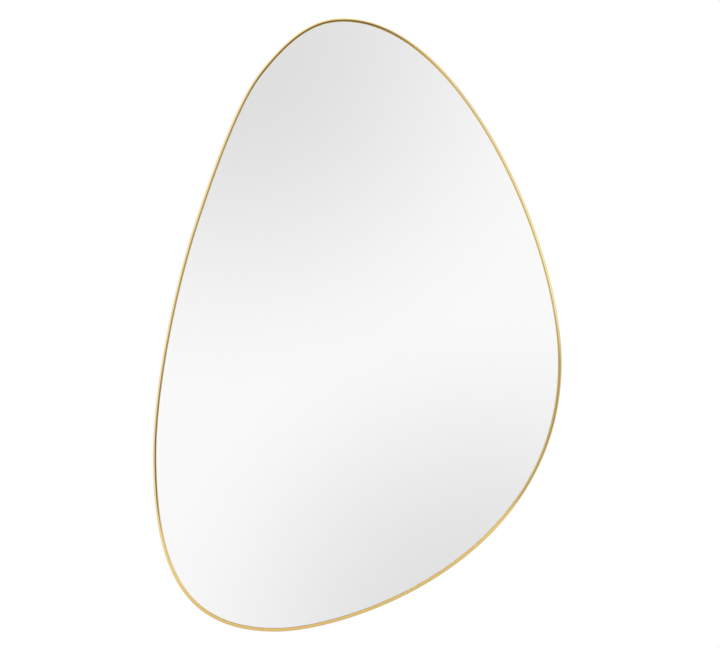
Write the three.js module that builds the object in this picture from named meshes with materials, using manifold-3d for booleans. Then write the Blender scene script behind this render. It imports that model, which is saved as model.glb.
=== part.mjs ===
// A pebble-shaped wall mirror: silvered glass on a fibreboard back, in a thin brass-plated steel band.
// Millimetres. +X is right, +Z is up, +Y goes into the wall, and the mirror looks towards -Y.
// The origin lies on the wall, midway between the two hooks that the mirror hangs from.
import * as THREE from "three";
import { mergeVertices } from "three/addons/utils/BufferGeometryUtils.js";
import Module from "manifold-3d";

const wasm = await Module();
wasm.setup();

// ---- Overall size and outline ----
const WIDTH = 600;
const HEIGHT = 900;

// The outline is one smooth convex loop, drawn clockwise through the four points where it touches its box
// and two more on the long upper left side. Places and handles are shares of the box, from its middle.
const OUTLINE_NODES = [
  { name: "top", at: [-0.034, 0.5], before: [-0.055, 0], after: [0.292, 0] },
  { name: "right", at: [0.5, -0.061], before: [0, 0.193], after: [0, -0.324] },
  { name: "bottom", at: [-0.199, -0.5], before: [0.174, 0], after: [-0.206, 0] },
  { name: "left", at: [-0.5, -0.212], before: [0, -0.208], after: [0, 0.1] },
  { name: "flank", at: [-0.398, 0.165], before: [-0.057, -0.116], after: [0.093, 0.189] },
  { name: "shoulder", at: [-0.235, 0.415], before: [-0.024, -0.02], after: [0.086, 0.072] },
];
const OUTLINE_STEPS = 128;

// ---- Clearances ----
const SEAT_GAP = 0.1; // between a piece and the flat face that carries it
const BOND_LINE = 0.05; // adhesive film on each side of a bonded layer
const WELD_GAP = 0.3; // behind a spot-welded tab
const THREAD_GAP = 0.3; // round a screw in its pilot hole
const SHEET_GAP = 0.4; // round a screw where it passes through sheet metal
const HINGE_GAP = 0.15; // round the ring's bar in its barrel
const HINGE_SIDE_GAP = 0.25; // from the strap's side to the bend in the ring
const HANGER_WALL_GAP = 0.95; // from the hanger to the wall
const CUT_OVERRUN = 1; // how far a cutting shape reaches past the face that it cuts

// ---- Frame band: one strip rolled over at the front, its lip turned sharply back to the glass ----
const FRAME_ROLL = 4.4; // outside radius, from the side wall round to the front
const FRAME_CORNER = 0.6; // outside radius, from the front round to the lip
const FRAME_WALL = 1.2;
const REAR_RECESS = 3.75; // from the band's rear edge in to the board
const ROLL_STEPS = 7;
const ROLL_INNER_STEPS = 5;
const CORNER_STEPS = 2;

// ---- Glass and the layers behind it ----
const GLASS_THICKNESS = 4;
const GLASS_EDGE_GAP = 0.8; // from the band's wall to the glass
const GLASS_ARRIS = 0.6;
const FILM_THICKNESS = 0.3;
const FILM_SETBACK = 0.8; // from the glass edge in to the film
const TAPE_THICKNESS = 1.2;
const TAPE_WIDTH = 25;
const TAPE_COUNT = 5;
const TAPE_SIDE_MARGIN = 97; // from the board's side to the middle of the first tape
const TAPE_END_MARGIN = 30; // from the board's edge to a tape's end
const BOARD_THICKNESS = 12;
const BOARD_SETBACK = 1.2; // from the glass edge in to the board

// ---- Screws ----
const SCREW_END_MARGIN = 2; // how much shorter a screw is than the board is thick
const SCREW_RADIUS = 1.7;
const SCREW_TIP = 3;
const SCREW_HEAD_RADIUS = 3.5;
const SCREW_HEAD_HEIGHT = 2.2;
const SCREW_HEAD_RIM = 0.7; // height of the head's straight edge under its dome
const SCREW_SIDES = 12;
const SCREW_DOME_STEPS = 3;
const RECESS_SPAN = 3.8;
const RECESS_SLOT = 0.9;
const RECESS_DEPTH = 1.2;

// ---- Fixing tabs: steel angles welded inside the band and screwed to the board ----
const TAB_COUNT = 8;
const TAB_WIDTH = 14;
const TAB_FOOT = 19;
const TAB_THICKNESS = 1.2;
const TAB_BEND = 0.6; // inside radius of the bend
const TAB_LEG_SETBACK = 0.5; // from the band's rear edge to the leg's end
const TAB_CORNER = 4; // round corners of the foot's free end
const TAB_BEND_STEPS = 4;
const TAB_CORNER_STEPS = 4;

// ---- Hangers: a strip folded double round the straight bar of a wire D-ring ----
const HOOK_SPAN = 240; // between the two wall hooks
const HOOK_DROP = 220; // from the top of the mirror down to the hooks
const RING_WIRE_RADIUS = 1.25;
const RING_CORNER = 3;
const RING_SIDE = 4.25; // straight part between the corner and the bow
const RING_BOW_STEPS = 16;
const RING_CORNER_STEPS = 4;
const RING_SIDES = 8;
const STRAP_WIDTH = 13;
const STRAP_THICKNESS = 1;
const STRAP_FOLD_GAP = 0.2; // between the strip's two layers
const STRAP_LENGTH = 36; // from the ring's bar to the round end
const STRAP_FIRST_HOLE = 10.5; // from the ring's bar; the other is in the middle of the round end
const BARREL_WRAP = 135; // degrees that the strip turns past the level of the bar
const BARREL_STEPS = 12;
const STRAP_END_STEPS = 8;

// ---- Wall bumpers ----
const BUMPER_RADIUS = 6.35;
const BUMPER_EDGE = 1; // chamfer round the face on the wall
const BUMPER_INSET = 32; // from the outline to the bumper's middle
const BUMPER_SIDES = 20;
const BUMPER_NAMES = ["upper_right", "lower_right", "lower_left", "upper_left"];

// ---- Fits that follow from the sizes ----
const frameFace = FRAME_ROLL + FRAME_CORNER;
const glassInset = FRAME_WALL + GLASS_EDGE_GAP;
const boardInset = glassInset + BOARD_SETBACK;
const screwLength = BOARD_THICKNESS - SCREW_END_MARGIN;
const pilotRadius = SCREW_RADIUS + THREAD_GAP;
const sheetHoleRadius = SCREW_RADIUS + SHEET_GAP;
const tabHeel = TAB_BEND + TAB_THICKNESS; // outside radius of the bend
const tabScrewPlace = WELD_GAP + (tabHeel + TAB_FOOT) / 2;
const barrelRadius = RING_WIRE_RADIUS + HINGE_GAP;
const barrelOuter = barrelRadius + STRAP_THICKNESS;
const ringHalfWidth = STRAP_WIDTH / 2 + HINGE_SIDE_GAP + RING_CORNER; // to the middle of the wire
const ringHeight = RING_CORNER + RING_SIDE + ringHalfWidth; // from the bar to the bow, middle to middle
const strapHoles = [STRAP_FIRST_HOLE, STRAP_LENGTH - STRAP_WIDTH / 2];

// ---- Depths: the wall is at zero, and the hangers set how far the board stands off it ----
const boardRear = -(HANGER_WALL_GAP + 2 * barrelOuter + SEAT_GAP);
const tapeRear = boardRear - BOARD_THICKNESS - BOND_LINE;
const filmRear = tapeRear - TAPE_THICKNESS - BOND_LINE;
const glassRear = filmRear - FILM_THICKNESS - BOND_LINE;
const glassFront = glassRear - GLASS_THICKNESS;
const springing = glassFront - SEAT_GAP; // where the roll leaves the side wall; the lip comes back as far
const frameRear = boardRear + REAR_RECESS;
const hardwareBase = boardRear + SEAT_GAP; // the underside of all that is screwed to the board
const tabTop = hardwareBase + TAB_THICKNESS;
const strapTop = hardwareBase + 2 * STRAP_THICKNESS + STRAP_FOLD_GAP;
const barDepth = hardwareBase + barrelOuter;

// ---- Materials ----
const finish = (color, roughness, metalness) =>
  new THREE.MeshStandardMaterial({ color, roughness, metalness });
const BRASS = finish(0xd9b25e, 0.2, 1);
const SILVERED_GLASS = finish(0xe9ecec, 0.02, 1);
const BACKING_FILM = finish(0xb9bec2, 0.5, 0);
const FOAM_TAPE = finish(0xf1f1ec, 0.9, 0);
const FIBREBOARD = finish(0xa9835b, 0.85, 0);
const ZINC = finish(0xb6b9bb, 0.35, 1);
const RUBBER = finish(0x2b2b2c, 0.8, 0);

// ---- Outline ----
const boxPoint = ([x, z]) => new THREE.Vector2(x * WIDTH, z * HEIGHT);

function drawOutline() {
  const path = new THREE.Path();
  const start = boxPoint(OUTLINE_NODES[0].at);
  path.moveTo(start.x, start.y);
  OUTLINE_NODES.forEach((node, i) => {
    const next = OUTLINE_NODES[(i + 1) % OUTLINE_NODES.length];
    const leave = boxPoint(node.at).add(boxPoint(node.after));
    const arrive = boxPoint(next.at).add(boxPoint(next.before));
    const end = boxPoint(next.at);
    path.bezierCurveTo(leave.x, leave.y, arrive.x, arrive.y, end.x, end.y);
  });
  return path;
}

// Middle of the area inside a closed row of points.
function centroid(points) {
  let area = 0;
  const sum = new THREE.Vector2();
  points.forEach((p, i) => {
    const q = points[(i + 1) % points.length];
    const cross = p.x * q.y - q.x * p.y;
    area += cross;
    sum.addScaledVector(p.clone().add(q), cross / 3);
  });
  return sum.divideScalar(area);
}

const outline = drawOutline();
const drawn = Array.from({ length: OUTLINE_STEPS }, (_, i) => outline.getPointAt(i / OUTLINE_STEPS));

// The hooks stand level on either side of the mirror's balance, so that it hangs straight.
const origin = new THREE.Vector2(centroid(drawn).x, HEIGHT / 2 - HOOK_DROP);

const stations = drawn.map((point, i) => {
  const along = outline.getTangentAt(i / OUTLINE_STEPS);
  return { point: point.clone().sub(origin), outward: new THREE.Vector2(-along.y, along.x) };
});

// The outline moved inwards by a distance, as one point for each station.
const insetRow = (inset) =>
  stations.map(({ point, outward }) => point.clone().addScaledVector(outward, -inset));

// The station of one out of a number of things that share the outline evenly, clockwise from the top.
const evenStep = (i, count) => Math.round(((i + 0.5) * OUTLINE_STEPS) / count) % OUTLINE_STEPS;

// Lowest and highest point of an inset outline where it crosses an upright line.
function crossings(row, x) {
  const heights = row.flatMap((p, i) => {
    const q = row[(i + 1) % row.length];
    const share = (x - p.x) / (q.x - p.x);
    return share >= 0 && share < 1 ? [p.y + share * (q.y - p.y)] : [];
  });
  return [Math.min(...heights), Math.max(...heights)];
}

// ---- Solids ----
function toSolid(geometry) {
  const bare = geometry.index ? geometry.toNonIndexed() : geometry.clone();
  bare.deleteAttribute("normal");
  bare.deleteAttribute("uv");
  const merged = mergeVertices(bare, 1e-4);
  return new wasm.Manifold(
    new wasm.Mesh({
      numProp: 3,
      vertProperties: merged.attributes.position.array,
      triVerts: new Uint32Array(merged.index.array),
    }),
  );
}

function toGeometry(solid) {
  const { vertProperties, triVerts } = solid.getMesh();
  const geometry = new THREE.BufferGeometry();
  geometry.setAttribute("position", new THREE.BufferAttribute(vertProperties, 3));
  geometry.setIndex(new THREE.BufferAttribute(triVerts, 1));
  geometry.computeVertexNormals();
  return geometry;
}

const cut = (geometry, tools) =>
  toGeometry(tools.reduce((left, tool) => left.subtract(toSolid(tool)), toSolid(geometry)));

const common = (a, b) => toGeometry(toSolid(a).intersect(toSolid(b)));

// A flat plate cut to a shape drawn in X and Z, from its rear face forwards.
function plate(shape, rear, thickness, arris = 0, curveSegments = 8) {
  const geometry = new THREE.ExtrudeGeometry(shape, {
    depth: thickness - 2 * arris,
    curveSegments,
    bevelEnabled: arris > 0,
    bevelThickness: arris,
    bevelSize: arris,
    bevelOffset: -arris,
    bevelSegments: 1,
  });
  geometry.rotateX(Math.PI / 2);
  geometry.translate(0, rear - arris, 0);
  return geometry;
}

// A section swept once round a closed row of stations that runs clockwise.
function sweepRound(section, route) {
  const positions = route.flatMap(({ point, outward }) =>
    section.flatMap(([inset, depth]) => {
      const p = point.clone().addScaledVector(outward, -inset);
      return [p.x, depth, p.y];
    }),
  );
  const index = [];
  const across = section.length;
  for (let i = 0; i < route.length; i++) {
    const here = i * across;
    const ahead = ((i + 1) % route.length) * across;
    for (let j = 0; j < across; j++) {
      const k = (j + 1) % across;
      index.push(here + j, here + k, ahead + j, here + k, ahead + k, ahead + j);
    }
  }
  const geometry = new THREE.BufferGeometry();
  geometry.setAttribute("position", new THREE.Float32BufferAttribute(positions, 3));
  geometry.setIndex(index);
  geometry.computeVertexNormals();
  return geometry;
}

// A bar of a shape drawn with X inwards from the band's wall and Y towards the wall of the room.
function crossBar(shape, width, curveSegments) {
  const geometry = new THREE.ExtrudeGeometry(shape, { depth: width, bevelEnabled: false, curveSegments });
  geometry.rotateY(Math.PI / 2);
  geometry.translate(-width / 2, 0, 0);
  return geometry;
}

// A peg along Y, from one depth to another.
function peg(radius, rear, front, x = 0, z = 0, sides = SCREW_SIDES) {
  const geometry = new THREE.CylinderGeometry(radius, radius, rear - front, sides);
  geometry.translate(x, (rear + front) / 2, z);
  return geometry;
}

function arcPoints(x, y, radius, from, to, steps) {
  return Array.from({ length: steps + 1 }, (_, i) => {
    const angle = from + ((to - from) * i) / steps;
    return [x + radius * Math.cos(angle), y + radius * Math.sin(angle)];
  });
}

// ---- Frame band ----
// The section is a row of points, each a distance in from the outline and a depth.
function bandSection() {
  const quarter = Math.PI / 2;
  const front = springing - FRAME_ROLL;
  const inside = FRAME_ROLL - FRAME_WALL;
  // The direction in which the inner face of the roll runs into the lip.
  const meets = 4 * quarter - Math.acos((FRAME_CORNER - FRAME_WALL) / inside);
  const roll = arcPoints(FRAME_ROLL, springing, FRAME_ROLL, 2 * quarter, 3 * quarter, ROLL_STEPS);
  const cornerDepth = front + FRAME_CORNER;
  const corner = arcPoints(FRAME_ROLL, cornerDepth, FRAME_CORNER, 3 * quarter, 4 * quarter, CORNER_STEPS);
  const hollow = arcPoints(FRAME_ROLL, springing, inside, meets, 2 * quarter, ROLL_INNER_STEPS);
  return [
    [0, frameRear],
    ...roll,
    ...corner.slice(1),
    [frameFace, springing],
    [frameFace - FRAME_WALL, springing],
    ...hollow,
    [FRAME_WALL, frameRear],
  ];
}

// ---- Screw: pan head with a cross recess, on a plain shank with a point ----
function screwGeometry() {
  const profile = [
    [0, -screwLength],
    [SCREW_RADIUS, SCREW_TIP - screwLength],
    [SCREW_RADIUS, 0],
    [SCREW_HEAD_RADIUS, 0],
  ];
  for (let i = 0; i <= SCREW_DOME_STEPS; i++) {
    const turn = (i / SCREW_DOME_STEPS) * (Math.PI / 2);
    const rise = SCREW_HEAD_HEIGHT - SCREW_HEAD_RIM;
    profile.push([SCREW_HEAD_RADIUS * Math.cos(turn), SCREW_HEAD_RIM + rise * Math.sin(turn)]);
  }
  profile[profile.length - 1][0] = 0;
  const body = new THREE.LatheGeometry(profile.map(([r, y]) => new THREE.Vector2(r, y)), SCREW_SIDES);
  const slots = [0, Math.PI / 2].map((turn) => {
    const slot = new THREE.BoxGeometry(RECESS_SPAN, 2 * RECESS_DEPTH, RECESS_SLOT);
    slot.rotateY(turn);
    slot.translate(0, SCREW_HEAD_HEIGHT, 0);
    return slot;
  });
  return cut(body, slots);
}

// ---- Fixing tab: local +Z points out to the band's wall, whose inner face is at z = 0 ----
function tabGeometry() {
  const legEnd = frameRear - TAB_LEG_SETBACK;
  const bendInset = WELD_GAP + tabHeel;
  const bendDepth = hardwareBase + tabHeel;
  const side = new THREE.Shape();
  side.moveTo(WELD_GAP, legEnd);
  side.lineTo(WELD_GAP, bendDepth);
  side.absarc(bendInset, bendDepth, tabHeel, Math.PI, 1.5 * Math.PI, false);
  side.lineTo(WELD_GAP + TAB_FOOT, hardwareBase);
  side.lineTo(WELD_GAP + TAB_FOOT, tabTop);
  side.lineTo(bendInset, tabTop);
  side.absarc(bendInset, bendDepth, TAB_BEND, 1.5 * Math.PI, Math.PI, true);
  side.lineTo(WELD_GAP + TAB_THICKNESS, legEnd);
  const angle = crossBar(side, TAB_WIDTH, TAB_BEND_STEPS);

  const half = TAB_WIDTH / 2;
  const end = -(WELD_GAP + TAB_FOOT);
  const plan = new THREE.Shape();
  plan.moveTo(-half, 0);
  plan.lineTo(-half, end + TAB_CORNER);
  plan.absarc(-half + TAB_CORNER, end + TAB_CORNER, TAB_CORNER, Math.PI, 1.5 * Math.PI, false);
  plan.absarc(half - TAB_CORNER, end + TAB_CORNER, TAB_CORNER, 1.5 * Math.PI, 2 * Math.PI, false);
  plan.lineTo(half, 0);
  const blankDepth = legEnd - hardwareBase + 2 * CUT_OVERRUN;
  const blank = plate(plan, legEnd + CUT_OVERRUN, blankDepth, 0, TAB_CORNER_STEPS);
  const hole = peg(sheetHoleRadius, legEnd, hardwareBase - CUT_OVERRUN, 0, -tabScrewPlace);
  return cut(common(angle, blank), [hole]);
}

// ---- Hanger: local z = 0 is the axis of the ring's bar ----
// The folded strip from the side: under layer, barrel, and upper layer lying back on the under one.
function strapGeometry() {
  const wrap = THREE.MathUtils.degToRad(BARREL_WRAP);
  const upperUnderside = strapTop - STRAP_THICKNESS;
  // Where the strip, leaving the barrel in a straight line, comes down to a depth.
  const landing = (radius, depth) => {
    const fall = barDepth + radius * Math.sin(wrap) - depth;
    return radius * Math.cos(wrap) + fall * Math.tan(wrap);
  };
  const outerArc = arcPoints(0, barDepth, barrelOuter, -Math.PI / 2, wrap, BARREL_STEPS);
  const innerArc = arcPoints(0, barDepth, barrelRadius, wrap, -Math.PI / 2, BARREL_STEPS);
  const points = [
    [-STRAP_LENGTH, hardwareBase],
    ...outerArc,
    [landing(barrelOuter, strapTop), strapTop],
    [-STRAP_LENGTH, strapTop],
    [-STRAP_LENGTH, upperUnderside],
    [landing(barrelRadius, upperUnderside), upperUnderside],
    ...innerArc,
    [-STRAP_LENGTH, hardwareBase + STRAP_THICKNESS],
  ];
  const side = new THREE.Shape(points.map(([z, y]) => new THREE.Vector2(-z, y)));
  const folded = crossBar(side, STRAP_WIDTH, 1);

  const half = STRAP_WIDTH / 2;
  const plan = new THREE.Shape();
  plan.moveTo(-half, barrelOuter + CUT_OVERRUN);
  plan.lineTo(-half, half - STRAP_LENGTH);
  plan.absarc(0, half - STRAP_LENGTH, half, Math.PI, 2 * Math.PI, false);
  plan.lineTo(half, barrelOuter + CUT_OVERRUN);
  const reach = barrelOuter + CUT_OVERRUN;
  const blank = plate(plan, barDepth + reach, 2 * reach, 0, STRAP_END_STEPS);
  const holes = strapHoles.map((down) =>
    peg(sheetHoleRadius, strapTop + CUT_OVERRUN, hardwareBase - CUT_OVERRUN, 0, -down),
  );
  return cut(common(folded, blank), holes);
}

// One bend of the wire, as stations for a sweep. Angles are in quarter turns.
function bend(x, z, radius, from, to, steps) {
  const middle = new THREE.Vector2(x, z);
  return Array.from({ length: steps + 1 }, (_, i) => {
    const angle = ((from + ((to - from) * i) / steps) * Math.PI) / 2;
    const outward = new THREE.Vector2(Math.cos(angle), Math.sin(angle));
    return { point: middle.clone().addScaledVector(outward, radius), outward };
  });
}

// The wire ring: a half-round bow, two short sides and a straight bar, with round corners between them.
function ringGeometry() {
  const corner = ringHalfWidth - RING_CORNER;
  const route = [
    ...bend(0, ringHeight - ringHalfWidth, ringHalfWidth, 2, 0, RING_BOW_STEPS),
    ...bend(corner, RING_CORNER, RING_CORNER, 0, -1, RING_CORNER_STEPS),
    ...bend(-corner, RING_CORNER, RING_CORNER, -1, -2, RING_CORNER_STEPS),
  ];
  const section = arcPoints(0, 0, RING_WIRE_RADIUS, 0, 2 * Math.PI, RING_SIDES).slice(1);
  return sweepRound(section, route);
}

// ---- Bumper: a rubber button whose flat face rests on the wall ----
function bumperGeometry() {
  const profile = [
    [0, hardwareBase],
    [BUMPER_RADIUS, hardwareBase],
    [BUMPER_RADIUS, -BUMPER_EDGE],
    [BUMPER_RADIUS - BUMPER_EDGE, 0],
    [0, 0],
  ];
  return new THREE.LatheGeometry(profile.map(([r, y]) => new THREE.Vector2(r, y)), BUMPER_SIDES);
}

// ---- Assembly ----
const mirror = new THREE.Group();

function add(name, geometry, material, parent = mirror) {
  const mesh = new THREE.Mesh(geometry, material);
  mesh.name = name;
  parent.add(mesh);
  return mesh;
}

const boardRow = insetRow(boardInset);

add("frame_band", sweepRound(bandSection(), stations), BRASS);
add(
  "mirror_glass",
  plate(new THREE.Shape(insetRow(glassInset)), glassRear, GLASS_THICKNESS, GLASS_ARRIS),
  SILVERED_GLASS,
);
add(
  "safety_film",
  plate(new THREE.Shape(insetRow(glassInset + FILM_SETBACK)), filmRear, FILM_THICKNESS),
  BACKING_FILM,
);

// Upright strips of foam tape, spread evenly over the board and cut to its height there.
const firstTape = Math.min(...boardRow.map((p) => p.x)) + TAPE_SIDE_MARGIN;
const lastTape = Math.max(...boardRow.map((p) => p.x)) - TAPE_SIDE_MARGIN;
for (let i = 0; i < TAPE_COUNT; i++) {
  const x = THREE.MathUtils.lerp(firstTape, lastTape, i / (TAPE_COUNT - 1));
  const sides = [-TAPE_WIDTH / 2, TAPE_WIDTH / 2].map((half) => crossings(boardRow, x + half));
  const low = Math.max(...sides.map(([z]) => z)) + TAPE_END_MARGIN;
  const high = Math.min(...sides.map(([, z]) => z)) - TAPE_END_MARGIN;
  const strip = new THREE.BoxGeometry(TAPE_WIDTH, TAPE_THICKNESS, high - low);
  const tape = add(`foam_tape_${i + 1}`, strip, FOAM_TAPE);
  tape.position.set(x, tapeRear - TAPE_THICKNESS / 2, (low + high) / 2);
}

const screw = screwGeometry();
const pilotHoles = [];

// A screw whose head bears on sheet metal at one depth, and the pilot hole that it needs in the board.
function addScrew(name, x, z, headSeat) {
  add(name, screw, ZINC).position.set(x, headSeat + SEAT_GAP, z);
  const bottom = headSeat - screwLength - THREAD_GAP;
  pilotHoles.push(peg(pilotRadius, boardRear + CUT_OVERRUN, bottom, x, z));
}

// Each tab stands at the middle of one straight step of the band's wall.
const tab = tabGeometry();
const wallRow = insetRow(FRAME_WALL);
for (let i = 0; i < TAB_COUNT; i++) {
  const step = evenStep(i, TAB_COUNT);
  const from = wallRow[step];
  const to = wallRow[(step + 1) % OUTLINE_STEPS];
  const middle = from.clone().add(to).divideScalar(2);
  const along = to.clone().sub(from).normalize();
  const outward = new THREE.Vector2(-along.y, along.x);
  const mesh = add(`fixing_tab_${i + 1}`, tab, ZINC);
  mesh.position.set(middle.x, 0, middle.y);
  mesh.rotation.y = Math.atan2(outward.x, outward.y);
  const place = middle.clone().addScaledVector(outward, -tabScrewPlace);
  addScrew(`tab_screw_${i + 1}`, place.x, place.y, tabTop);
}

// The hook bears inside the ring's bow, at the height of the origin.
const barHeight = RING_WIRE_RADIUS - ringHeight;
const strap = strapGeometry();
const ring = ringGeometry();
for (const [side, x] of [
  ["left", -HOOK_SPAN / 2],
  ["right", HOOK_SPAN / 2],
]) {
  add(`hanger_strap_${side}`, strap, ZINC).position.set(x, 0, barHeight);
  add(`d_ring_${side}`, ring, ZINC).position.set(x, barDepth, barHeight);
  strapHoles.forEach((down, i) => {
    addScrew(`hanger_screw_${side}_${i + 1}`, x, barHeight - down, strapTop);
  });
}

// The bumpers stand between the tabs, evenly round the outline.
const bumper = bumperGeometry();
const bumperRow = insetRow(BUMPER_INSET);
BUMPER_NAMES.forEach((place, i) => {
  const at = bumperRow[evenStep(i, BUMPER_NAMES.length)];
  add(`wall_bumper_${place}`, bumper, RUBBER).position.set(at.x, 0, at.y);
});

const board = plate(new THREE.Shape(boardRow), boardRear, BOARD_THICKNESS);
add("backing_board", cut(board, pilotHoles), FIBREBOARD);

export default mirror;
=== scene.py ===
import math

import bmesh
import bpy
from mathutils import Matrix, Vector


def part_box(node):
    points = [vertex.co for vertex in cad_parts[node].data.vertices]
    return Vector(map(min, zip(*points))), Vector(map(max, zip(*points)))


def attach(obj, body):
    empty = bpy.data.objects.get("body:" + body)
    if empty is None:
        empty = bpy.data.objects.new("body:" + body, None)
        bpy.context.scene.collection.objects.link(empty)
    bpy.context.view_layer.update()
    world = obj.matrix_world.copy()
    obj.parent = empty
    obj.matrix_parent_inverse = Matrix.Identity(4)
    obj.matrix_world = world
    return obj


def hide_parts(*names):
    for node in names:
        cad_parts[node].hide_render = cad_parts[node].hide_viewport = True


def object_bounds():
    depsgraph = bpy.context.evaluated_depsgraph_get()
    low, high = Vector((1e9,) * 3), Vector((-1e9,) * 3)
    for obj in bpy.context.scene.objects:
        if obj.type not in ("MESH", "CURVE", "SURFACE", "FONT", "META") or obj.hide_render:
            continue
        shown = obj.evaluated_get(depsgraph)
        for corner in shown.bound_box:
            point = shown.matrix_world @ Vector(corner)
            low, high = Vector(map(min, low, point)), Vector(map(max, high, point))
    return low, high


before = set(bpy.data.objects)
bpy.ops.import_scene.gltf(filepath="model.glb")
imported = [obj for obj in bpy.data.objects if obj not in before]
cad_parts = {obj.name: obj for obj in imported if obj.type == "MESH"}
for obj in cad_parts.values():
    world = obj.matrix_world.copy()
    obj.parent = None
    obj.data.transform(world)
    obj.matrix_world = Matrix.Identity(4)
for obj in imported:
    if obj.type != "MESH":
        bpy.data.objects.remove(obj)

cad_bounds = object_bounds()
MM = 0.001

# ---- Outline: one smooth convex loop, drawn clockwise; places and handles are shares of its box ----
OUTLINE_NODES = (
    {"at": (-0.034, 0.5), "before": (-0.055, 0), "after": (0.292, 0)},  # top
    {"at": (0.5, -0.061), "before": (0, 0.193), "after": (0, -0.324)},  # right
    {"at": (-0.199, -0.5), "before": (0.174, 0), "after": (-0.206, 0)},  # bottom
    {"at": (-0.5, -0.212), "before": (0, -0.208), "after": (0, 0.1)},  # left
    {"at": (-0.398, 0.165), "before": (-0.057, -0.116), "after": (0.093, 0.189)},  # left flank
    {"at": (-0.235, 0.415), "before": (-0.024, -0.02), "after": (0.086, 0.072)},  # left shoulder
)
OUTLINE_STATIONS = 480
CURVE_SAMPLES = 400  # along each stretch, before the stations are spread evenly

# ---- Sizes that the solids' boxes don't tell ----
FRAME_FACE = 5.0 * MM  # width of the band, seen from the front
FRAME_CORNER = 0.3 * MM  # outside radius, from the front round to the lip
FRAME_TILT = 12.0  # degrees: how far the face still leans outwards where it meets the corner
FRAME_WALL = 1.2 * MM
FRAME_EDGE = 0.25 * MM  # rounding of the strip's cut edges
LIP_GAP = 0.1 * MM  # between the lip and the glass
GLASS_ARRIS = 0.5 * MM
SILVER_GAP = 0.01 * MM  # between the glass and its silver
SILVER_THICKNESS = 0.02 * MM
BOARD_EDGE = 0.4 * MM
STRAP_THICKNESS = 1.0 * MM
STRAP_LAYER_GAP = 0.2 * MM  # between the strip's two layers
STRAP_EDGE = 0.18 * MM
STRAP_FOLD = 0.9 * MM  # rounding where the upper layer lies down on the lower one
FOLD_ON_SLOPE = 0.7  # share of it, out and up alike, at which it starts on the slope from the barrel
BARREL_WRAP = 135.0  # degrees from straight up to where the strip leaves the barrel, on the wall's side
END_MARGIN = 1.0 * MM  # from a strap's round end to the nearest row of its straight part
BARREL_MARGIN = 0.5 * MM  # from the other end of that part to the barrel
RING_CORNER = 3.0 * MM
WIRE_RADIUS = 1.25 * MM
SCREW_RADIUS = 1.7 * MM
SCREW_LENGTH = 10.0 * MM
SCREW_TIP = 3.0 * MM
HEAD_RADIUS = 3.5 * MM
HEAD_HEIGHT = 2.2 * MM
HEAD_RIM = 0.6 * MM
HEAD_EDGE = 0.2 * MM  # bevel under the rim
RECESS_REACH = 1.95 * MM  # from the screw's middle to the end of each wing
RECESS_HALF_WIDTH = 0.42 * MM
RECESS_DEPTH = 1.5 * MM
RECESS_OVERRUN = 0.5 * MM  # how far its cutter stands out of the head
RECESS_POINT = 0.25  # share of the reach that is left at the bottom
RECESS_LEAST_WIDTH = 0.5  # share of the width that is left there
SCREW_TURN = 37  # degrees from one screw's cross to the next one's
BUMPER_EDGE = 1.0 * MM
BUMPER_FOOT_EDGE = 0.3 * MM  # bevel where the button meets the board
DIMPLE_RIM = 1.6 * MM  # radius
DIMPLE_FLOOR = 1.2 * MM  # radius
DIMPLE_WALL = 0.25 * MM  # depth at the edge of its floor
DIMPLE_DEPTH = 0.35 * MM
TAB_EDGE = 0.15 * MM
SHARP_ANGLE = 40  # degrees: what turns further is a sharp edge, on screws, bumpers and tabs
LEAST_STRIP = 1.01  # a strip's least half width, as a multiple of its edge rounding
MERGE_DISTANCE = 1e-7

# ---- How finely round shapes are divided ----
ROLL_STEPS = 32
ROLL_INSIDE_STEPS = 16
FRAME_CORNER_STEPS = 12
FRAME_EDGE_STEPS = 4
BOARD_EDGE_STEPS = 3
STRAP_EDGE_STEPS = 3
STRAP_END_STEPS = 14
STRAP_STRAIGHT_STEPS = 8
STRAP_FOLD_STEPS = 6
BARREL_STEPS = 28
BOW_STEPS = 48
RING_CORNER_STEPS = 12
WIRE_SIDES = 20
DOME_STEPS = 10
SCREW_SIDES = 48
BUMPER_EDGE_STEPS = 8
BUMPER_SIDES = 64
TAB_EDGE_STEPS = 2

# ---- Photograph: the mirror's height and place in the picture, and the camera's distance ----
PHOTO_WIDTH_PX = 720
MIRROR_HEIGHT_PX = 613.3
MIRROR_LEFT_OF_CENTRE_PX = 2.75
MIRROR_BELOW_CENTRE_PX = 1.0
CAMERA_DISTANCE = 8.0
CAMERA_CLIP_END = 50.0
SENSOR_WIDTH_MM = 36.0

# ---- Floor and lamps ----
FLOOR_DROP = 0.15  # from the mirror's lowest point
FLOOR_RADIUS = 1.6
FLOOR_SIDES = 96
FLOOR_TONE = 0.93
FLOOR_WHITENS = (0.4, 0.8)  # shares of the radius between which it turns white
FLOOR_CLEARS = (0.7, 0.98)  # shares of the radius between which it disappears
FIRST_PASSAGE = 0.5  # a ray whose transmission depth is under this has passed through no glass
LAMP_ENERGY = 14.0  # watts
LAMP_SIZE = 1.2
KEY_PLACE = Vector((-1.6, -2.4, 1.9))  # from the middle of the mirror
REAR_KEY_PLACE = Vector((1.5, 2.4, 1.8))

# ---- What the mirror and the metals reflect: tones of the room, where 1 is white ----
GLOW = (0.2, 0.8, 3.7)  # red, green and blue that come on top for each unit of tone above white
MIRROR_TONE = 0.99
# Two round grey patches in the mirror. In metres on its face: how far right and up from the line of
# sight each lies, and the radii between which it fades out. The depth is how much darker its middle is.
PATCHES = (
    {"right": -0.189, "up": 0.427, "inner": 0.046, "outer": 0.568, "depth": 0.225},
    {"right": 0.199, "up": -0.507, "inner": 0.101, "outer": 0.556, "depth": 0.21},
)
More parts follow.
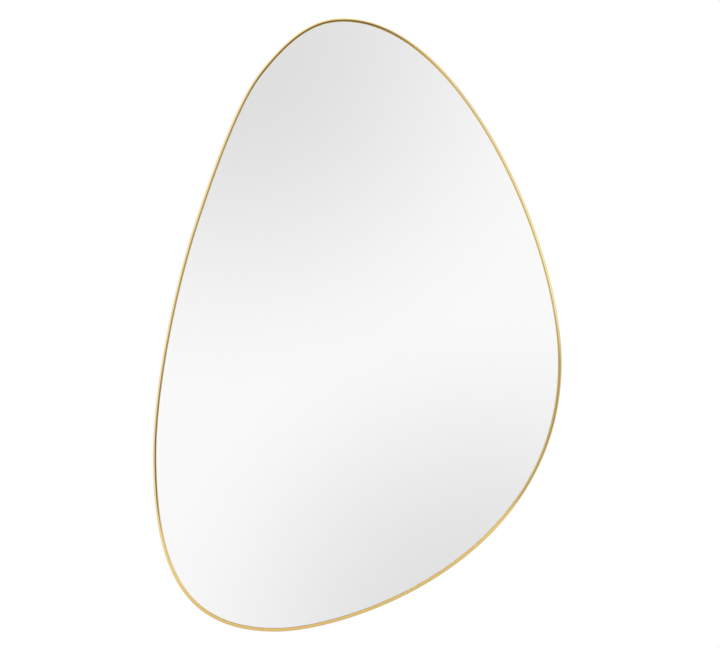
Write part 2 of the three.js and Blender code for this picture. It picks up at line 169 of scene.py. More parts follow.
# The room round the line of sight: (degrees, tone) by direction, where 0 is right and 90 is up. The
# near tones lie in front of the mirror, the far ones beside it, and the back ones behind it.
ROOM_NEAR = (
    (-180, 0.2), (-172, 0.25), (-166, 0.78), (-150, 0.94), (-135, 0.92), (-110, 0.84), (-60, 0.84),
    (-42, 0.92), (-35, 0.78), (-25, 0.75), (-10, 0.64), (0, 0.5), (10, 0.66), (44, 0.62),
    (60, 0.25), (75, 0.15), (140, 0.16), (160, 0.5), (170, 0.42), (180, 0.2),
)
ROOM_FAR = (
    (-180, 1.35), (-160, 1.3), (-150, 1.05), (-130, 0.88), (-110, 0.83), (-60, 0.83), (-44, 1.02),
    (-38, 0.8), (-33, 0.12), (-15, 0.2), (0, 0.6), (10, 1.6), (38, 1.6), (48, 1.1),
    (60, 0.6), (75, 0.4), (90, 0.65), (125, 0.65), (150, 1.3), (180, 1.35),
)
ROOM_BACK = (
    (-180, 1.15), (-160, 0.95), (-130, 0.78), (-110, 0.72), (-60, 0.72), (-45, 0.9), (-30, 1.3),
    (-14, 0.8), (0, 0.7), (15, 1.0), (40, 0.75), (65, 0.7), (90, 1.0), (120, 1.1), (150, 1.1),
    (180, 1.15),
)
STRAIGHT_BEHIND_LOW = 0.5
STRAIGHT_BEHIND_HIGH = 1.1
AMBIENT_TONE = 0.8  # what lights the surfaces
# Where one set of tones gives way to the next, by the parts of a direction of length 1. Y is positive
# behind the mirror.
SIGHT_ENDS = (0.11, 0.22)  # slope away from the line of sight, sideways and upwards together
NEAR_TO_FAR_Y = (-0.56, -0.1)
FRONT_TO_BACK_Y = (-0.05, 0.3)
BACK_TO_STRAIGHT_Y = (0.55, 0.95)
LOW_TO_HIGH_Z = (-0.5, 0.6)
LEAST_AHEAD = 0.05  # keeps the slopes finite beside and behind the mirror
DRIFT_SCALE = 1.7
DRIFT_RANGE = (0.93, 1.07)  # the room round the line of sight is a little uneven


# ---------------------------------------------------------------- outline
def bezier(a, b, c, d, t):
    s = 1 - t
    return a * s**3 + b * (3 * s * s * t) + c * (3 * s * t * t) + d * t**3


def outline_stations(low, high, count):
    """Points on the outline, spread evenly, each with its outward normal, in the X-Z plane."""
    size = Vector((high.x - low.x, high.z - low.z))
    centre = Vector((high.x + low.x, high.z + low.z)) / 2

    def sized(pair):
        return Vector((pair[0] * size.x, pair[1] * size.y))

    fine = []
    for here, ahead in zip(OUTLINE_NODES, OUTLINE_NODES[1:] + OUTLINE_NODES[:1]):
        a, d = sized(here["at"]), sized(ahead["at"])
        b, c = a + sized(here["after"]), d + sized(ahead["before"])
        fine += [centre + bezier(a, b, c, d, i / CURVE_SAMPLES) for i in range(CURVE_SAMPLES)]
    run = [0.0]
    for p, q in zip(fine, fine[1:] + fine[:1]):
        run.append(run[-1] + (q - p).length)
    points, k = [], 0
    for i in range(count):
        target = run[-1] * i / count
        while run[k + 1] < target:
            k += 1
        t = (target - run[k]) / (run[k + 1] - run[k])
        points.append(fine[k].lerp(fine[(k + 1) % len(fine)], t))
    stations = []
    for i, p in enumerate(points):
        along = (points[(i + 1) % count] - points[i - 1]).normalized()
        stations.append((p, Vector((-along.y, along.x))))
    return stations


def inset(stations, distance):
    return [(p - n * distance, n) for p, n in stations]


# ---------------------------------------------------------------- meshes
def shade(mesh, sharp_angle):
    """Smooth shading, apart from edges that turn by more than an angle in degrees."""
    mesh.shade_smooth()
    mesh.set_sharp_from_angle(angle=math.radians(sharp_angle))


def piece(name, verts, faces, material, body="mirror", stands_for=(), smooth=35):
    """A closed mesh that rides a body, with faces turned outwards and edges sharp above an angle."""
    mesh = bpy.data.meshes.new(name)
    mesh.from_pydata([tuple(v) for v in verts], [], faces)
    draft = bmesh.new()
    draft.from_mesh(mesh)
    bmesh.ops.remove_doubles(draft, verts=draft.verts, dist=MERGE_DISTANCE)
    bmesh.ops.recalc_face_normals(draft, faces=draft.faces)
    draft.to_mesh(mesh)
    draft.free()
    shade(mesh, smooth)
    mesh.materials.append(material)
    thing = bpy.data.objects.new(name, mesh)
    bpy.context.scene.collection.objects.link(thing)
    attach(thing, body)
    if stands_for:
        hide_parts(*stands_for)
    return thing


def middle(low, high):
    """The middle of a box, seen from the front: its X and Z."""
    return (low.x + high.x) / 2, (low.z + high.z) / 2


def arc(x, y, radius, start, end, steps):
    """Points on an arc, with its angles in degrees."""
    turns = [math.radians(start + (end - start) * i / steps) for i in range(steps + 1)]
    return [(x + radius * math.cos(a), y + radius * math.sin(a)) for a in turns]


def skin(rows, across, closed=False):
    """The faces between neighbouring rows of points; each row is a ring of so many points across."""
    faces = []
    for row in range(rows if closed else rows - 1):
        here, ahead = row * across, (row + 1) % rows * across
        for j in range(across):
            k = (j + 1) % across
            faces.append((here + j, here + k, ahead + k, ahead + j))
    return faces


def capped_skin(rows, across):
    """A skin over rows of points, with its first and last rows closed by a flat face."""
    total = rows * across
    return skin(rows, across) + [tuple(range(across)), tuple(range(total - across, total))]


def sweep(section, route):
    """A closed section of (distance inwards, depth) points, carried round a closed route."""
    verts = [(p.x - n.x * s, y, p.y - n.y * s) for p, n in route for s, y in section]
    return verts, skin(len(route), len(section), closed=True)


def plate(stations, front, rear, edge, edge_steps=1):
    """A flat plate inside the stations, with its front and rear edges eased."""
    quarter = [math.radians(90 * i / edge_steps) for i in range(edge_steps + 1)]
    rows = [(edge * (1 - math.sin(a)), front + edge * (1 - math.cos(a))) for a in quarter]
    rows += [(s, rear - (y - front)) for s, y in reversed(rows)]
    verts = [(p.x - n.x * s, y, p.y - n.y * s) for s, y in rows for p, n in stations]
    return verts, capped_skin(len(rows), len(stations))


def lathe(profile, x, z, sides):
    """A profile of (radius, depth) points, turned about a line along Y. It starts and ends on the line."""
    verts, faces = [(x, profile[0][1], z)], []
    rings = profile[1:-1]
    for r, y in rings:
        for i in range(sides):
            a = 2 * math.pi * i / sides
            verts.append((x + r * math.cos(a), y, z + r * math.sin(a)))
    verts.append((x, profile[-1][1], z))
    last = len(verts) - 1
    for i in range(sides):
        k = (i + 1) % sides
        faces.append((0, 1 + i, 1 + k))
        for r in range(len(rings) - 1):
            a, b = 1 + r * sides, 1 + (r + 1) * sides
            faces.append((a + i, b + i, b + k, a + k))
        end = 1 + (len(rings) - 1) * sides
        faces.append((last, end + k, end + i))
    return verts, faces


def bent_strip(x, path, half_widths, thickness, edge):
    """Sheet metal bent along a path of (z, y) points on its middle surface, with rounded edges."""
    verts, half = [], thickness / 2
    for i, (z, y) in enumerate(path):
        before, after = path[max(i - 1, 0)], path[min(i + 1, len(path) - 1)]
        along = Vector((after[0] - before[0], after[1] - before[1])).normalized()
        up = Vector((-along.y, along.x))
        across = max(half_widths[i], edge * LEAST_STRIP)
        rim = [
            point
            for cx, cy, start in ((1, -1, -90), (1, 1, 0), (-1, 1, 90), (-1, -1, 180))
            for point in arc(
                cx * (across - edge), cy * (half - edge), edge, start, start + 90, STRAP_EDGE_STEPS
            )
        ]
        verts += [(x + s, y + up.y * h, z + up.x * h) for s, h in rim]
    return verts, capped_skin(len(path), len(verts) // len(path))


# ---------------------------------------------------------------- materials
MIX_A, MIX_B, MIX_RESULT = 6, 7, 2  # a Mix node's colour sockets
MOST_NOISE = (0.3, 0.7)  # nearly all of a noise's values lie between these


class Graph:
    """A short way to write a node tree: each call adds a node and links or sets its inputs."""

    def __init__(self, tree):
        self.tree = tree
        tree.nodes.clear()

    def add(self, kind, inputs=None, **settings):
        node = self.tree.nodes.new(kind)
        for name, value in settings.items():
            setattr(node, name, value)
        for name, value in (inputs or {}).items():
            if isinstance(value, bpy.types.NodeSocket):
                self.tree.links.new(value, node.inputs[name])
            else:
                node.inputs[name].default_value = value
        return node

    def noise(self, where, scale, detail=2.0, roughness=0.5):
        inputs = {"Vector": where, "Scale": scale, "Detail": detail, "Roughness": roughness}
        return self.add("ShaderNodeTexNoise", inputs).outputs["Fac"]

    def span(self, value, low, high, to_low=0.0, to_high=1.0, smooth=False):
        """A value's range carried over to another range, and held at its ends."""
        inputs = {"Value": value, "From Min": low, "From Max": high, "To Min": to_low, "To Max": to_high}
        kind = "SMOOTHSTEP" if smooth else "LINEAR"
        return self.add("ShaderNodeMapRange", inputs, interpolation_type=kind).outputs["Result"]

    def math(self, operation, a, b=0.0):
        return self.add("ShaderNodeMath", {0: a, 1: b}, operation=operation).outputs[0]

    def vector_math(self, operation, inputs, result="Vector"):
        return self.add("ShaderNodeVectorMath", inputs, operation=operation).outputs[result]

    def mix(self, share, a, b):
        inputs = {"Factor": share, MIX_A: a, MIX_B: b}
        return self.add("ShaderNodeMix", inputs, data_type="RGBA").outputs[MIX_RESULT]

    def mix_shaders(self, share, a, b):
        return self.add("ShaderNodeMixShader", {0: share, 1: a, 2: b}).outputs["Shader"]

    def ramp(self, share, stops):
        """A tone that changes along (degrees, tone) stops, for a share of the turn from -180 to 180."""
        node = self.add("ShaderNodeValToRGB", {"Fac": share})
        row = node.color_ramp.elements
        row.remove(row[-1])
        for k, (degrees, tone) in enumerate(stops):
            stop = row.new((degrees + 180) / 360) if k else row[0]
            stop.color = daylight(tone)
        return node.outputs["Color"]

    def bump(self, height, distance):
        inputs = {"Height": height, "Distance": distance, "Strength": 1.0}
        return self.add("ShaderNodeBump", inputs).outputs["Normal"]


def rgb(red, green, blue):
    return (red, green, blue, 1.0)


def grey(tone):
    return rgb(tone, tone, tone)


def daylight(tone):
    """A tone's colour: neutral up to white, and cooler as it gets brighter than that."""
    plain, glow = min(tone, 1), max(tone - 1, 0)
    return rgb(*(plain + share * glow for share in GLOW))


def material(name, paint, **fixed):
    """A material whose paint function returns the linked inputs of its Principled shader."""
    made = bpy.data.materials.new(name)
    made.use_nodes = True
    graph = Graph(made.node_tree)
    where = graph.add("ShaderNodeTexCoord").outputs["Object"]
    shader = graph.add("ShaderNodeBsdfPrincipled", {**fixed, **paint(graph, where)})
    output = graph.add("ShaderNodeOutputMaterial")
    graph.tree.links.new(shader.outputs["BSDF"], output.inputs["Surface"])
    return made


def paint_brass(g, where):
    """Polished plating: a warm colour that drifts a little, with faint hairlines from the buffing wheel."""
    drift = g.span(g.noise(where, scale=7.0, detail=3.0), *MOST_NOISE)
    haze = g.noise(where, scale=160.0, detail=4.0)
    hairs = g.noise(where, scale=2600.0)
    return {
        "Base Color": g.mix(drift, rgb(0.865, 0.565, 0.11), rgb(0.9, 0.595, 0.125)),
        "Roughness": g.span(haze, 0.35, 0.7, to_low=0.07, to_high=0.13),
        "Normal": g.bump(hairs, distance=0.002 * MM),
    }


def paint_glass(g, where):
    """Float glass, wiped clean: only a trace of haze."""
    haze = g.noise(where, scale=5.0, detail=3.0)
    return {"Roughness": g.span(haze, 0.45, 0.8, to_low=0.0, to_high=0.006)}


def paint_silver(g, where):
    """Silver under the glass: all but even."""
    return {"Base Color": g.mix(g.noise(where, scale=2.0), grey(0.965), grey(0.975))}


def paint_film(g, where):
    """Blue-grey plastic film with a fine grain."""
    specks = g.noise(where, scale=900.0, detail=3.0)
    return {
        "Base Color": g.mix(specks, rgb(0.50, 0.53, 0.55), rgb(0.60, 0.63, 0.64)),
        "Normal": g.bump(specks, distance=0.02 * MM),
    }


def paint_foam(g, where):
    """Pale foam with small open cells, with painted shade: its colour is darker in the cells' hollows."""
    cells_and_painted_shade = g.add("ShaderNodeTexVoronoi", {"Vector": where, "Scale": 2500.0}).outputs["Distance"]
    return {
        # painted shade: the colour follows the cells' bump, darker where they dip and paler on their rims
        "Base Color": g.mix(cells_and_painted_shade, rgb(0.70, 0.70, 0.67), rgb(0.90, 0.90, 0.87)),
        "Normal": g.bump(cells_and_painted_shade, distance=0.15 * MM),
    }


def paint_fibreboard(g, where):
    """Sanded fibreboard: fine pale fibres and a few dark flecks on an uneven brown ground."""
    mottle = g.span(g.noise(where, scale=11.0, detail=6.0, roughness=0.65), *MOST_NOISE)
    ground = g.mix(mottle, rgb(0.34, 0.215, 0.12), rgb(0.47, 0.315, 0.19))
    fibres = g.span(g.noise(where, scale=1300.0, detail=6.0, roughness=0.75), 0.38, 0.68)
    fibrous = g.mix(fibres, ground, rgb(0.56, 0.41, 0.265))
    flecks = g.span(g.noise(where, scale=420.0, detail=5.0, roughness=0.7), 0.62, 0.72)
    return {
        "Base Color": g.mix(flecks, fibrous, rgb(0.20, 0.12, 0.065)),
        "Roughness": g.span(fibres, 0.0, 1.0, to_low=0.72, to_high=0.9),
        "Normal": g.bump(fibres, distance=0.06 * MM),
    }


def paint_zinc(g, where):
    """Bright zinc plating over drawn steel: cool, with small patches that shine differently."""
    patches = g.span(g.noise(where, scale=240.0, detail=3.0), 0.35, 0.65)
    grain = g.noise(where, scale=5200.0)
    return {
        "Base Color": g.mix(patches, rgb(0.47, 0.49, 0.51), rgb(0.58, 0.59, 0.6)),
        "Roughness": g.span(patches, 0.0, 1.0, to_low=0.22, to_high=0.34),
        "Normal": g.bump(grain, distance=0.002 * MM),
    }


def paint_rubber(g, where):
    """Black rubber with a fine grain and a faint grey bloom."""
    grain = g.noise(where, scale=3800.0, detail=3.0)
    bloom = g.span(g.noise(where, scale=130.0, detail=3.0), 0.35, 0.75)
    return {
        "Base Color": g.mix(bloom, rgb(0.017, 0.017, 0.018), rgb(0.045, 0.045, 0.046)),
        "Roughness": g.span(bloom, 0.0, 1.0, to_low=0.55, to_high=0.75),
        "Normal": g.bump(grain, distance=0.03 * MM),
    }


LACQUER = {"Coat Weight": 1.0, "Coat Roughness": 0.05, "Coat IOR": 1.8}
BRASS = material("polished_brass", paint_brass, Metallic=1.0, **LACQUER)
CLEAR = {"Base Color": grey(0.997), "Transmission Weight": 1.0, "IOR": 1.52}
GLASS = material("float_glass", paint_glass, **CLEAR)
SILVER = material("silver_coating", paint_silver, Metallic=1.0, Roughness=0.0)
FILM = material("backing_film", paint_film, Roughness=0.45)
FOAM = material("foam_tape", paint_foam, Roughness=0.9)
FIBREBOARD = material("fibreboard", paint_fibreboard)
ZINC = material("zinc_plate", paint_zinc, Metallic=1.0)
RUBBER = material("black_rubber", paint_rubber)

# ---------------------------------------------------------------- frame band
band_low, band_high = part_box("frame_band")
glass_low, glass_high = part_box("mirror_glass")
board_low, board_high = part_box("backing_board")
stations = outline_stations(band_low, band_high, OUTLINE_STATIONS)


def band_section():
    """The rolled strip: straight wall, wide roll to the front, tight corner, and a lip behind it."""
    front, rear = band_low.y, band_high.y
    lean = math.radians(FRAME_TILT)
    roll = (FRAME_FACE - FRAME_CORNER * (1 + math.sin(lean))) / (1 - math.sin(lean))
    springing = front + FRAME_CORNER + (roll - FRAME_CORNER) * math.cos(lean)
    lip_end = glass_low.y - LIP_GAP
    inside = roll - FRAME_WALL
    lip_inside = FRAME_FACE - FRAME_WALL
    meets = 180 + math.degrees(math.acos((roll - lip_inside) / inside))
    face_ends = 270 - FRAME_TILT
    corner = (FRAME_FACE - FRAME_CORNER, front + FRAME_CORNER, FRAME_CORNER)
    e = FRAME_EDGE
    return (
        arc(e, rear - e, e, 90, 180, FRAME_EDGE_STEPS)
        + arc(roll, springing, roll, 180, face_ends, ROLL_STEPS)
        + arc(*corner, face_ends, 360, FRAME_CORNER_STEPS)
        + arc(FRAME_FACE - e, lip_end - e, e, 0, 90, FRAME_EDGE_STEPS)
        + arc(lip_inside + e, lip_end - e, e, 90, 180, FRAME_EDGE_STEPS)
        + arc(roll, springing, inside, meets, 180, ROLL_INSIDE_STEPS)
        + arc(FRAME_WALL - e, rear - e, e, 0, 90, FRAME_EDGE_STEPS)
    )


verts, faces = sweep(band_section(), stations)
piece("brass_band", verts, faces, BRASS, stands_for=["frame_band"], smooth=60)

# ---------------------------------------------------------------- glass and its silver
glass_loop = inset(stations, band_high.x - glass_high.x)
verts, faces = plate(glass_loop, glass_low.y, glass_high.y, GLASS_ARRIS)
piece("glass_pane", verts, faces, GLASS, stands_for=["mirror_glass"], smooth=20)

silver_front = glass_high.y + SILVER_GAP
verts, faces = plate(glass_loop, silver_front, silver_front + SILVER_THICKNESS, 0.0)
piece("silver_layer", verts, faces, SILVER, smooth=20)

# ---------------------------------------------------------------- backing board
board_loop = inset(stations, band_high.x - board_high.x)
verts, faces = plate(board_loop, board_low.y, board_high.y, BOARD_EDGE, BOARD_EDGE_STEPS)
piece("fibre_board", verts, faces, FIBREBOARD, stands_for=["backing_board"])


# ---------------------------------------------------------------- hangers
def strap_straight(z_from, z_to, y):
    """A straight part of a layer, flat on the board or on the other layer."""
    steps = STRAP_STRAIGHT_STEPS
    return [(z_from + (z_to - z_from) * i / steps, y) for i in range(steps + 1)]


def strap_fold(slope_end, corner_z, y):
    """The soft bend that lays the upper layer down on the lower one."""
    a, b, c = Vector(slope_end), Vector((corner_z, y)), Vector((corner_z - STRAP_FOLD, y))
    points = []
    for i in range(1, STRAP_FOLD_STEPS):
        u = i / STRAP_FOLD_STEPS
        p = a * (1 - u) ** 2 + b * (2 * u * (1 - u)) + c * u * u
        points.append((p.x, p.y))
    return points


def strap_path(low, high, round_middle, half):
    """Along the strip's middle surface: up the board, round the bar, and back down on the first layer."""
    t = STRAP_THICKNESS
    barrel = (high.y - low.y) / 2
    bar_y, bar_z = low.y + barrel, high.z - barrel
    bend = barrel - t / 2
    lower_y, upper_y = low.y + t / 2, low.y + 2 * t + STRAP_LAYER_GAP - t / 2
    wrap = math.radians(BARREL_WRAP)
    leave_z, leave_y = bar_z + bend * math.cos(wrap), bar_y + bend * math.sin(wrap)
    corner_z = leave_z + (leave_y - upper_y) / math.tan(wrap)
    slope_end = (corner_z + STRAP_FOLD * FOLD_ON_SLOPE, upper_y + STRAP_FOLD * FOLD_ON_SLOPE)
    turns = [math.radians(90 * i / STRAP_END_STEPS) for i in range(STRAP_END_STEPS + 1)]
    end_rows = [round_middle - half * math.cos(a) for a in turns]
    return (
        [(z, lower_y) for z in end_rows]
        + strap_straight(round_middle + END_MARGIN, bar_z - BARREL_MARGIN, lower_y)
        + arc(bar_z, bar_y, bend, -90, BARREL_WRAP, BARREL_STEPS)
        + [slope_end]
        + strap_fold(slope_end, corner_z, upper_y)
        + strap_straight(corner_z - STRAP_FOLD, round_middle + END_MARGIN, upper_y)
        + [(z, upper_y) for z in reversed(end_rows)]
    )


def strap(side):
    """A strip folded round the ring's bar; both of its ends are round and lie on each other."""
    node = f"hanger_strap_{side}"
    low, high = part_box(node)
    x, half = (low.x + high.x) / 2, (high.x - low.x) / 2
    round_middle = low.z + half
    path = strap_path(low, high, round_middle, half)
    widths = []
    for z, _ in path:
        reach = max(round_middle - z, 0.0)
        widths.append(math.sqrt(max(half * half - reach * reach, 0.0)))
    verts, faces = bent_strip(x, path, widths, STRAP_THICKNESS, STRAP_EDGE)
    piece(f"strap_{side}", verts, faces, ZINC, stands_for=[node], smooth=50)


def ring(side):
    """The wire ring: a half-round bow, two straight sides, round corners and the bar in the barrel."""
    node, name, body = f"d_ring_{side}", f"ring_{side}_wire", f"ring_{side}"
    low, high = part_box(node)
    r, corner = WIRE_RADIUS, RING_CORNER
    x, y = (low.x + high.x) / 2, (low.y + high.y) / 2
    half = (high.x - low.x) / 2 - r
    bar_z, bow_z = low.z + r, high.z - r - half
    bends = (
        (x, bow_z, half, 180, 0, BOW_STEPS),
        (x + half - corner, bar_z + corner, corner, 0, -90, RING_CORNER_STEPS),
        (x - half + corner, bar_z + corner, corner, -90, -180, RING_CORNER_STEPS),
    )
    route = []
    for cx, cz, *turn in bends:
        for px, pz in arc(cx, cz, *turn):
            point = Vector((px, pz))
            route.append((point, (point - Vector((cx, cz))).normalized()))
    section = [(s, y + d) for s, d in arc(0, 0, r, 0, 360, WIRE_SIDES)[1:]]
    verts, faces = sweep(section, route)
    piece(name, verts, faces, ZINC, body=body, stands_for=[node], smooth=60)


for side in ("left", "right"):
    strap(side)
    ring(side)


# ---------------------------------------------------------------- screws
def recess_wing(draft, centre, degrees):
    """One tapered wing of the driver's cross, from above the head down to its narrow foot."""
    a = math.radians(degrees)
    along, side = Vector((math.cos(a), 0, math.sin(a))), Vector((-math.sin(a), 0, math.cos(a)))
    levels = ((1.0, RECESS_OVERRUN), (1.0, 0.0), (RECESS_POINT, -RECESS_DEPTH))
    rings = []
    for share, rise in levels:
        reach, width = RECESS_REACH * share, RECESS_HALF_WIDTH * max(share, RECESS_LEAST_WIDTH)
        level = centre + Vector((0, rise, 0))
        signs = ((1, 1), (-1, 1), (-1, -1), (1, -1))
        rings.append([draft.verts.new(level + along * (reach * u) + side * (width * v)) for u, v in signs])
    for upper, lower in zip(rings, rings[1:]):
        for i in range(4):
            k = (i + 1) % 4
            draft.faces.new((upper[i], upper[k], lower[k], lower[i]))
    draft.faces.new(rings[0][::-1])
    draft.faces.new(rings[-1])


def recess_cutter(centre, turn):
    """The driver's cross: two tapered wings."""
    mesh = bpy.data.meshes.new("cutter")
    draft = bmesh.new()
    for wing in (0, 90):
        recess_wing(draft, centre, wing + turn)
    bmesh.ops.recalc_face_normals(draft, faces=draft.faces)
    draft.to_mesh(mesh)
    draft.free()
    cutter = bpy.data.objects.new("cutter", mesh)
    bpy.context.scene.collection.objects.link(cutter)
    return cutter


def cut_away(made, cutter):
    """Takes the cutter's shape out of a piece's mesh, and the cutter out of the scene."""
    cut = made.modifiers.new("recess", "BOOLEAN")
    cut.operation, cut.object, cut.solver, cut.use_self = "DIFFERENCE", cutter, "EXACT", True
    bpy.context.view_layer.update()
    shown = made.evaluated_get(bpy.context.evaluated_depsgraph_get())
    done = bpy.data.meshes.new_from_object(shown)
    made.modifiers.clear()
    made.data = done
    bpy.data.objects.remove(cutter)


def screw(node, number):
    """A pan head with a cross recess on a plain shank that ends in a point."""
    low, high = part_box(node)
    x, z = middle(low, high)
    seat = low.y + SCREW_LENGTH
    top = seat + HEAD_HEIGHT
    turns = [math.radians(90 * i / DOME_STEPS) for i in range(DOME_STEPS)]
    rise = HEAD_HEIGHT - HEAD_RIM
    profile = (
        [(0, low.y), (SCREW_RADIUS, low.y + SCREW_TIP), (SCREW_RADIUS, seat)]
        + [(HEAD_RADIUS - HEAD_EDGE, seat), (HEAD_RADIUS, seat + HEAD_EDGE)]
        + [(HEAD_RADIUS * math.cos(a), seat + HEAD_RIM + rise * math.sin(a)) for a in turns]
        + [(0, top)]
    )
    verts, faces = lathe(profile, x, z, SCREW_SIDES)
    made = piece(node + "_steel", verts, faces, ZINC, stands_for=[node], smooth=SHARP_ANGLE)
    cut_away(made, recess_cutter(Vector((x, top, z)), SCREW_TURN * number))
    shade(made.data, SHARP_ANGLE)


for number, node in enumerate(sorted(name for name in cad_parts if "_screw_" in name)):
    screw(node, number)


# ---------------------------------------------------------------- bumpers
def bumper(node):
    """A moulded rubber button with a soft edge and a shallow dimple in the middle."""
    low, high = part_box(node)
    x, z = middle(low, high)
    r, top, e = (high.x - low.x) / 2, high.y, BUMPER_EDGE
    profile = (
        [(0, low.y), (r - BUMPER_FOOT_EDGE, low.y), (r, low.y + BUMPER_FOOT_EDGE)]
        + arc(r - e, top - e, e, 0, 90, BUMPER_EDGE_STEPS)
        + [(DIMPLE_RIM, top), (DIMPLE_FLOOR, top - DIMPLE_WALL), (0, top - DIMPLE_DEPTH)]
    )
    verts, faces = lathe(profile, x, z, BUMPER_SIDES)
    piece(node + "_rubber", verts, faces, RUBBER, stands_for=[node], smooth=SHARP_ANGLE)


for node in sorted(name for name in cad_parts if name.startswith("wall_bumper_")):
    bumper(node)


# ---------------------------------------------------------------- fixing tabs
def fixing_tab(node):
    """The steel angle in its solid's shape, with the sheared edges eased."""
    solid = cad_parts[node].data
    verts = [corner.co for corner in solid.vertices]
    faces = [tuple(face.vertices) for face in solid.polygons]
    made = piece(node + "_steel", verts, faces, ZINC, stands_for=[node], smooth=SHARP_ANGLE)
    ease = made.modifiers.new("eased_edges", "BEVEL")
    ease.width, ease.segments, ease.limit_method = TAB_EDGE, TAB_EDGE_STEPS, "ANGLE"
    ease.angle_limit = math.radians(SHARP_ANGLE)


for node in sorted(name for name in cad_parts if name.startswith("fixing_tab_")):
    fixing_tab(node)


# ---------------------------------------------------------------- solids that stay as they are
def dress(node, material):
    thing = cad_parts[node]
    thing.data.materials.clear()
    thing.data.materials.append(material)


dress("safety_film", FILM)
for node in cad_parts:
    if node.startswith("foam_tape_"):
        dress(node, FOAM)

# ---------------------------------------------------------------- camera
scene = bpy.context.scene
pixel = (band_high.z - band_low.z) / MIRROR_HEIGHT_PX
mirror_x, mirror_z = middle(band_low, band_high)
widest = band_low.y + FRAME_FACE  # the depth at which the band is widest, seen from the front
camera = bpy.data.objects.new("camera", bpy.data.cameras.new("camera"))
camera.data.sensor_width = SENSOR_WIDTH_MM
camera.data.lens = SENSOR_WIDTH_MM * CAMERA_DISTANCE / (PHOTO_WIDTH_PX * pixel)
camera.data.clip_end = CAMERA_CLIP_END
camera.location = (
    mirror_x + MIRROR_LEFT_OF_CENTRE_PX * pixel,
    widest - CAMERA_DISTANCE,
    mirror_z + MIRROR_BELOW_CENTRE_PX * pixel,
)
camera.rotation_euler = (math.pi / 2, 0, 0)
scene.collection.objects.link(camera)
scene.camera = camera


# ---------------------------------------------------------------- floor
def floor_material():
    """Matt in the middle and white further out. It clears at the rim, and to what metal reflects."""
    made = bpy.data.materials.new("pale_floor")
    made.use_nodes = True
    g = Graph(made.node_tree)
    where = g.add("ShaderNodeTexCoord").outputs["Object"]
    flat = g.vector_math("MULTIPLY", {0: where, 1: (1, 1, 0)})
    out = g.vector_math("LENGTH", {0: flat}, result="Value")
    whiten, fade = (
        g.span(out, FLOOR_RADIUS * start, FLOOR_RADIUS * end, smooth=True)
        for start, end in (FLOOR_WHITENS, FLOOR_CLEARS)
    )
    matt = g.add("ShaderNodeBsdfDiffuse", {"Color": grey(FLOOR_TONE)}).outputs["BSDF"]
    white = g.add("ShaderNodeEmission", {"Color": grey(1), "Strength": 1.0}).outputs["Emission"]
    clear = g.add("ShaderNodeBsdfTransparent").outputs["BSDF"]
    # A reflection in the mirror has passed its glass, and one in bare metal has passed none.
    path = g.add("ShaderNodeLightPath").outputs
    unglazed = g.math("LESS_THAN", path["Transmission Depth"], FIRST_PASSAGE)
    metal = g.math("MULTIPLY", path["Is Glossy Ray"], unglazed)
    pale = g.mix_shaders(whiten, matt, white)
    blend = g.mix_shaders(g.math("MAXIMUM", fade, metal), pale, clear)
    output = g.add("ShaderNodeOutputMaterial")
    g.tree.links.new(blend, output.inputs["Surface"])
    return made


def pale_floor():
    """A disc under the mirror that takes its shadow."""
    mesh = bpy.data.meshes.new("floor")
    level = band_low.z - FLOOR_DROP
    turns = [2 * math.pi * i / FLOOR_SIDES for i in range(FLOOR_SIDES)]
    rim = [(FLOOR_RADIUS * math.cos(a), FLOOR_RADIUS * math.sin(a), level) for a in turns]
    mesh.from_pydata(rim, [], [tuple(range(FLOOR_SIDES))])
    mesh.materials.append(floor_material())
    floor = bpy.data.objects.new("floor", mesh)
    scene.collection.objects.link(floor)


# ---------------------------------------------------------------- light and studio
def lamp(name, offset):
    """A soft round lamp that points at the middle of the mirror and isn't seen in reflections."""
    target = (cad_bounds[0] + cad_bounds[1]) / 2
    place = target + offset
    light = bpy.data.objects.new(name, bpy.data.lights.new(name, "AREA"))
    light.data.energy, light.data.size, light.data.shape = LAMP_ENERGY, LAMP_SIZE, "DISK"
    light.visible_glossy = False
    light.location = place
    light.rotation_euler = (target - place).to_track_quat("-Z", "Y").to_euler()
    scene.collection.objects.link(light)


def line_of_sight(g, right, up):
    """The mirror's even tone with its grey patches, by a direction's slopes to the right and upwards."""
    on_mirror = g.add("ShaderNodeCombineXYZ", {
        0: g.math("MULTIPLY", right, CAMERA_DISTANCE),
        1: g.math("MULTIPLY", up, CAMERA_DISTANCE),
    }).outputs["Vector"]
    tone = MIRROR_TONE
    for patch in PATCHES:
        place = (patch["right"], patch["up"], 0)
        away = g.vector_math("DISTANCE", {0: on_mirror, 1: place}, result="Value")
        dark = g.span(away, patch["inner"], patch["outer"], patch["depth"], 0.0, smooth=True)
        tone = g.math("SUBTRACT", tone, dark)
    return tone


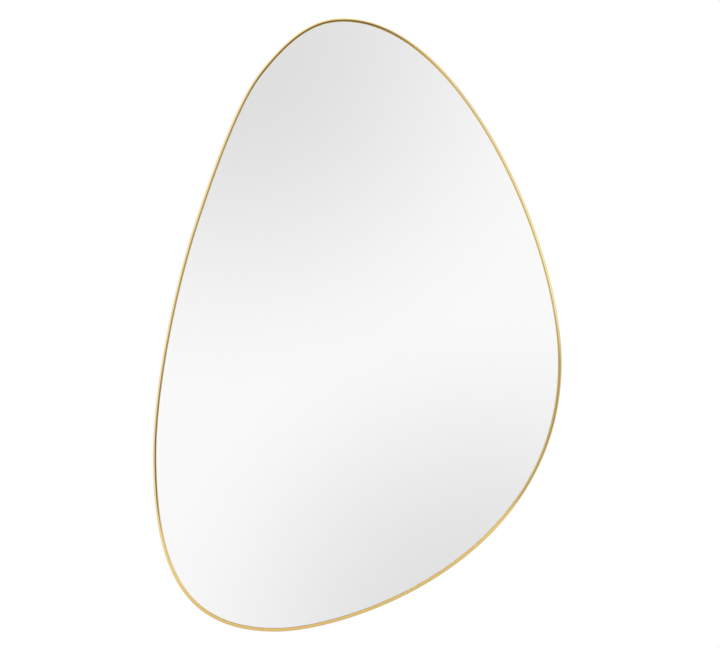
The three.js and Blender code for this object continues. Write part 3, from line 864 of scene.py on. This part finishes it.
def room_in_front(g, way, y, share):
    """Round the line of sight: pale below, and dark above. The left is dark close by and bright further
    out, and the upper right is brightest."""
    near, far = g.ramp(share, ROOM_NEAR), g.ramp(share, ROOM_FAR)
    room = g.mix(g.span(y, *NEAR_TO_FAR_Y, smooth=True), near, far)
    drift = g.span(g.noise(way, DRIFT_SCALE, detail=1.0), *MOST_NOISE, *DRIFT_RANGE)
    return g.vector_math("SCALE", {0: room, 3: drift})


def room_behind(g, y, z, share):
    """Behind the mirror: tones of its own at the sides, and in the middle grey below and bright above."""
    rising = g.span(z, *LOW_TO_HIGH_Z, smooth=True)
    facing = g.mix(rising, grey(STRAIGHT_BEHIND_LOW), grey(STRAIGHT_BEHIND_HIGH))
    return g.mix(g.span(y, *BACK_TO_STRAIGHT_Y, smooth=True), g.ramp(share, ROOM_BACK), facing)


def studio():
    """White to the camera, an even light on the surfaces, and soft tones to reflect in metal and glass."""
    world = bpy.data.worlds.new("studio")
    world.use_nodes = True
    g = Graph(world.node_tree)
    way = g.add("ShaderNodeTexCoord").outputs["Generated"]
    x, y, z = g.add("ShaderNodeSeparateXYZ", {0: way}).outputs
    ahead = g.math("MAXIMUM", g.math("MULTIPLY", y, -1.0), LEAST_AHEAD)
    right, up = g.math("DIVIDE", x, ahead), g.math("DIVIDE", z, ahead)
    share = g.span(g.math("ARCTAN2", z, x), -math.pi, math.pi)
    off_axis = g.math("ADD", g.math("ABSOLUTE", right), g.math("ABSOLUTE", up))
    beside = g.span(off_axis, *SIGHT_ENDS, smooth=True)
    front = g.mix(beside, line_of_sight(g, right, up), room_in_front(g, way, y, share))
    back = room_behind(g, y, z, share)
    seen = g.mix(g.span(y, *FRONT_TO_BACK_Y, smooth=True), front, back)
    path = g.add("ShaderNodeLightPath").outputs
    mirrored = g.math("MAXIMUM", path["Is Glossy Ray"], path["Is Transmission Ray"])
    reflected = g.mix(mirrored, grey(AMBIENT_TONE), seen)
    final = g.mix(path["Is Camera Ray"], reflected, grey(1))
    background = g.add("ShaderNodeBackground", {"Color": final, "Strength": 1.0})
    output = g.add("ShaderNodeOutputWorld")
    g.tree.links.new(background.outputs["Background"], output.inputs["Surface"])
    scene.world = world


pale_floor()
lamp("key", KEY_PLACE)
lamp("rear_key", REAR_KEY_PLACE)
studio()

scene.view_settings.view_transform = "Standard"
